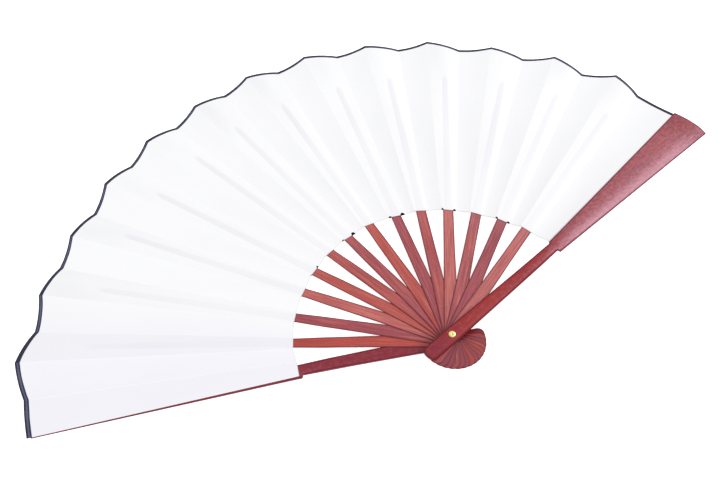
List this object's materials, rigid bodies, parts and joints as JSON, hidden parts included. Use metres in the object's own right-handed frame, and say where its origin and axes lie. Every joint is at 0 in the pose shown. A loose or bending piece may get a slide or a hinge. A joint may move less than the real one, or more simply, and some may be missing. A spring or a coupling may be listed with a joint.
{
  "type": "tai chi fan",
  "caption": "Large folding hand fan with a plain pleated paper leaf in a dark binding, red-stained wooden sticks and guards, and a brass rivet.",
  "frame": {"origin": "on the rivet's axis, in the plane of the rear guard's outer face, on which the open fan lies", "axes": "+Z along the rivet towards its domed head on the front guard, +Y out along the middle stick of the open fan, +X towards the front guard"},
  "size_m": [0.5683, 0.3245, 0.0131],
  "materials": {
    "leaf_paper": "matt doubled paper, near white",
    "stick_wood": "thin wood strips stained red, each a little different, satin",
    "guard_wood": "wood stained brick red, satin varnish",
    "rivet_brass": "polished brass"
  },
  "bodies": {
    "rear": {"rear_guard": "guard_wood", "rear_end_panel": "leaf_paper", "rivet_pin": "rivet_brass", "rivet_cap": "rivet_brass"},
    "front": {"front_guard": "guard_wood", "front_end_panel": "leaf_paper"},
    "fold_00": {"fold_panel_00": "leaf_paper"},
    "stick_01": {"stick_01": "stick_wood", "pocket_panel_01": "leaf_paper"},
    "fold_01": {"fold_panel_01": "leaf_paper"},
    "stick_02": {"stick_02": "stick_wood", "pocket_panel_02": "leaf_paper"},
    "fold_02": {"fold_panel_02": "leaf_paper"},
    "stick_03": {"stick_03": "stick_wood", "pocket_panel_03": "leaf_paper"},
    "fold_03": {"fold_panel_03": "leaf_paper"},
    "stick_04": {"stick_04": "stick_wood", "pocket_panel_04": "leaf_paper"},
    "fold_04": {"fold_panel_04": "leaf_paper"},
    "stick_05": {"stick_05": "stick_wood", "pocket_panel_05": "leaf_paper"},
    "fold_05": {"fold_panel_05": "leaf_paper"},
    "stick_06": {"stick_06": "stick_wood", "pocket_panel_06": "leaf_paper"},
    "fold_06": {"fold_panel_06": "leaf_paper"},
    "stick_07": {"stick_07": "stick_wood", "pocket_panel_07": "leaf_paper"},
    "fold_07": {"fold_panel_07": "leaf_paper"},
    "stick_08": {"stick_08": "stick_wood", "pocket_panel_08": "leaf_paper"},
    "fold_08": {"fold_panel_08": "leaf_paper"},
    "stick_09": {"stick_09": "stick_wood", "pocket_panel_09": "leaf_paper"},
    "fold_09": {"fold_panel_09": "leaf_paper"},
    "stick_10": {"stick_10": "stick_wood", "pocket_panel_10": "leaf_paper"},
    "fold_10": {"fold_panel_10": "leaf_paper"},
    "stick_11": {"stick_11": "stick_wood", "pocket_panel_11": "leaf_paper"},
    "fold_11": {"fold_panel_11": "leaf_paper"},
    "stick_12": {"stick_12": "stick_wood", "pocket_panel_12": "leaf_paper"},
    "fold_12": {"fold_panel_12": "leaf_paper"},
    "stick_13": {"stick_13": "stick_wood", "pocket_panel_13": "leaf_paper"},
    "fold_13": {"fold_panel_13": "leaf_paper"}
  },
  "joints": [
    {"name": "fan_fold", "type": "hinge", "parent": "rear", "child": "front", "pos_m": [0, 0, 0], "axis": [0, 0, 1], "range_deg": [0, 147.8]},
    {"name": "fold_00_crease", "type": "hinge", "parent": "rear", "child": "fold_00", "pos_m": [-0.10588, 0.03803, 0.00205], "axis": [0.9411, -0.3381, 0.006], "range_deg": [0, 162.27], "deforming": ["fold_panel_00"]},
    {"name": "stick_01_turn", "type": "hinge", "parent": "rear", "child": "stick_01", "pos_m": [0, 0, 0], "axis": [0, 0, 1], "range_deg": [0, 9.83]},
    {"name": "fold_01_crease", "type": "hinge", "parent": "stick_01", "child": "fold_01", "pos_m": [-0.09767, 0.05583, 0.00255], "axis": [0.8682, -0.4962, 0.006], "range_deg": [0, 163.33], "deforming": ["fold_panel_01"]},
    {"name": "stick_02_turn", "type": "hinge", "parent": "rear", "child": "stick_02", "pos_m": [0, 0, 0], "axis": [0, 0, 1], "range_deg": [0, 20.41]},
    {"name": "fold_02_crease", "type": "hinge", "parent": "stick_02", "child": "fold_02", "pos_m": [-0.08572, 0.07285, 0.00305], "axis": [0.762, -0.6476, 0.006], "range_deg": [0, 163.25], "deforming": ["fold_panel_02"]},
    {"name": "stick_03_turn", "type": "hinge", "parent": "rear", "child": "stick_03", "pos_m": [0, 0, 0], "axis": [0, 0, 1], "range_deg": [0, 30.95]},
    {"name": "fold_03_crease", "type": "hinge", "parent": "stick_03", "child": "fold_03", "pos_m": [-0.07093, 0.08733, 0.00355], "axis": [0.6304, -0.7762, 0.006], "range_deg": [0, 162.55], "deforming": ["fold_panel_03"]},
    {"name": "stick_04_turn", "type": "hinge", "parent": "rear", "child": "stick_04", "pos_m": [0, 0, 0], "axis": [0, 0, 1], "range_deg": [0, 41.06]},
    {"name": "fold_04_crease", "type": "hinge", "parent": "stick_04", "child": "fold_04", "pos_m": [-0.05444, 0.09845, 0.00405], "axis": [0.4839, -0.8751, 0.006], "range_deg": [0, 162.36], "deforming": ["fold_panel_04"]},
    {"name": "stick_05_turn", "type": "hinge", "parent": "rear", "child": "stick_05", "pos_m": [0, 0, 0], "axis": [0, 0, 1], "range_deg": [0, 51.07]},
    {"name": "fold_05_crease", "type": "hinge", "parent": "stick_05", "child": "fold_05", "pos_m": [-0.03646, 0.10643, 0.00455], "axis": [0.324, -0.946, 0.006], "range_deg": [0, 162.26], "deforming": ["fold_panel_05"]},
    {"name": "stick_06_turn", "type": "hinge", "parent": "rear", "child": "stick_06", "pos_m": [0, 0, 0], "axis": [0, 0, 1], "range_deg": [0, 61.03]},
    {"name": "fold_06_crease", "type": "hinge", "parent": "stick_06", "child": "fold_06", "pos_m": [-0.01745, 0.11114, 0.00505], "axis": [0.1551, -0.9879, 0.006], "range_deg": [0, 162.64], "deforming": ["fold_panel_06"]},
    {"name": "stick_07_turn", "type": "hinge", "parent": "rear", "child": "stick_07", "pos_m": [0, 0, 0], "axis": [0, 0, 1], "range_deg": [0, 71.2]},
    {"name": "fold_07_crease", "type": "hinge", "parent": "stick_07", "child": "fold_07", "pos_m": [0.00249, 0.11247, 0.00555], "axis": [-0.0221, -0.9997, 0.006], "range_deg": [0, 163.33], "deforming": ["fold_panel_07"]},
    {"name": "stick_08_turn", "type": "hinge", "parent": "rear", "child": "stick_08", "pos_m": [0, 0, 0], "axis": [0, 0, 1], "range_deg": [0, 81.78]},
    {"name": "fold_08_crease", "type": "hinge", "parent": "stick_08", "child": "fold_08", "pos_m": [0.02315, 0.11009, 0.00605], "axis": [-0.2058, -0.9786, 0.006], "range_deg": [0, 163.41], "deforming": ["fold_panel_08"]},
    {"name": "stick_09_turn", "type": "hinge", "parent": "rear", "child": "stick_09", "pos_m": [0, 0, 0], "axis": [0, 0, 1], "range_deg": [0, 92.42]},
    {"name": "fold_09_crease", "type": "hinge", "parent": "stick_09", "child": "fold_09", "pos_m": [0.04312, 0.10391, 0.00655], "axis": [-0.3833, -0.9236, 0.006], "range_deg": [0, 163.49], "deforming": ["fold_panel_09"]},
    {"name": "stick_10_turn", "type": "hinge", "parent": "rear", "child": "stick_10", "pos_m": [0, 0, 0], "axis": [0, 0, 1], "range_deg": [0, 103.1]},
    {"name": "fold_10_crease", "type": "hinge", "parent": "stick_10", "child": "fold_10", "pos_m": [0.06168, 0.09408, 0.00705], "axis": [-0.5483, -0.8363, 0.006], "range_deg": [0, 163.85], "deforming": ["fold_panel_10"]},
    {"name": "stick_11_turn", "type": "hinge", "parent": "rear", "child": "stick_11", "pos_m": [0, 0, 0], "axis": [0, 0, 1], "range_deg": [0, 114.05]},
    {"name": "fold_11_crease", "type": "hinge", "parent": "stick_11", "child": "fold_11", "pos_m": [0.07846, 0.08063, 0.00755], "axis": [-0.6974, -0.7167, 0.006], "range_deg": [0, 163.49], "deforming": ["fold_panel_11"]},
    {"name": "stick_12_turn", "type": "hinge", "parent": "rear", "child": "stick_12", "pos_m": [0, 0, 0], "axis": [0, 0, 1], "range_deg": [0, 124.74]},
    {"name": "fold_12_crease", "type": "hinge", "parent": "stick_12", "child": "fold_12", "pos_m": [0.09208, 0.06464, 0.00805], "axis": [-0.8185, -0.5745, 0.006], "range_deg": [0, 163], "deforming": ["fold_panel_12"]},
    {"name": "stick_13_turn", "type": "hinge", "parent": "rear", "child": "stick_13", "pos_m": [0, 0, 0], "axis": [0, 0, 1], "range_deg": [0, 135.11]},
    {"name": "fold_13_crease", "type": "hinge", "parent": "stick_13", "child": "fold_13", "pos_m": [0.10223, 0.04695, 0.00855], "axis": [-0.9087, -0.4174, 0.006], "range_deg": [0, 166.31], "deforming": ["fold_panel_13"]}
  ],
  "couplings": [
    {"joint": "fold_00_crease", "follows": "fan_fold", "ratio": 1.0945},
    {"joint": "stick_01_turn", "follows": "fan_fold", "ratio": 0.065169},
    {"joint": "fold_01_crease", "follows": "fan_fold", "ratio": 1.1017},
    {"joint": "stick_02_turn", "follows": "fan_fold", "ratio": 0.13677},
    {"joint": "fold_02_crease", "follows": "fan_fold", "ratio": 1.1012},
    {"joint": "stick_03_turn", "follows": "fan_fold", "ratio": 0.20802},
    {"joint": "fold_03_crease", "follows": "fan_fold", "ratio": 1.0964},
    {"joint": "stick_04_turn", "follows": "fan_fold", "ratio": 0.27646},
    {"joint": "fold_04_crease", "follows": "fan_fold", "ratio": 1.0951},
    {"joint": "stick_05_turn", "follows": "fan_fold", "ratio": 0.34419},
    {"joint": "fold_05_crease", "follows": "fan_fold", "ratio": 1.0944},
    {"joint": "stick_06_turn", "follows": "fan_fold", "ratio": 0.41158},
    {"joint": "fold_06_crease", "follows": "fan_fold", "ratio": 1.0971},
    {"joint": "stick_07_turn", "follows": "fan_fold", "ratio": 0.48036},
    {"joint": "fold_07_crease", "follows": "fan_fold", "ratio": 1.1017},
    {"joint": "stick_08_turn", "follows": "fan_fold", "ratio": 0.55197},
    {"joint": "fold_08_crease", "follows": "fan_fold", "ratio": 1.1022},
    {"joint": "stick_09_turn", "follows": "fan_fold", "ratio": 0.62392},
    {"joint": "fold_09_crease", "follows": "fan_fold", "ratio": 1.1027},
    {"joint": "stick_10_turn", "follows": "fan_fold", "ratio": 0.69623},
    {"joint": "fold_10_crease", "follows": "fan_fold", "ratio": 1.1052},
    {"joint": "stick_11_turn", "follows": "fan_fold", "ratio": 0.7703},
    {"joint": "fold_11_crease", "follows": "fan_fold", "ratio": 1.1027},
    {"joint": "stick_12_turn", "follows": "fan_fold", "ratio": 0.84261},
    {"joint": "fold_12_crease", "follows": "fan_fold", "ratio": 1.0995},
    {"joint": "stick_13_turn", "follows": "fan_fold", "ratio": 0.9128},
    {"joint": "fold_13_crease", "follows": "fan_fold", "ratio": 1.1219}
  ]
}
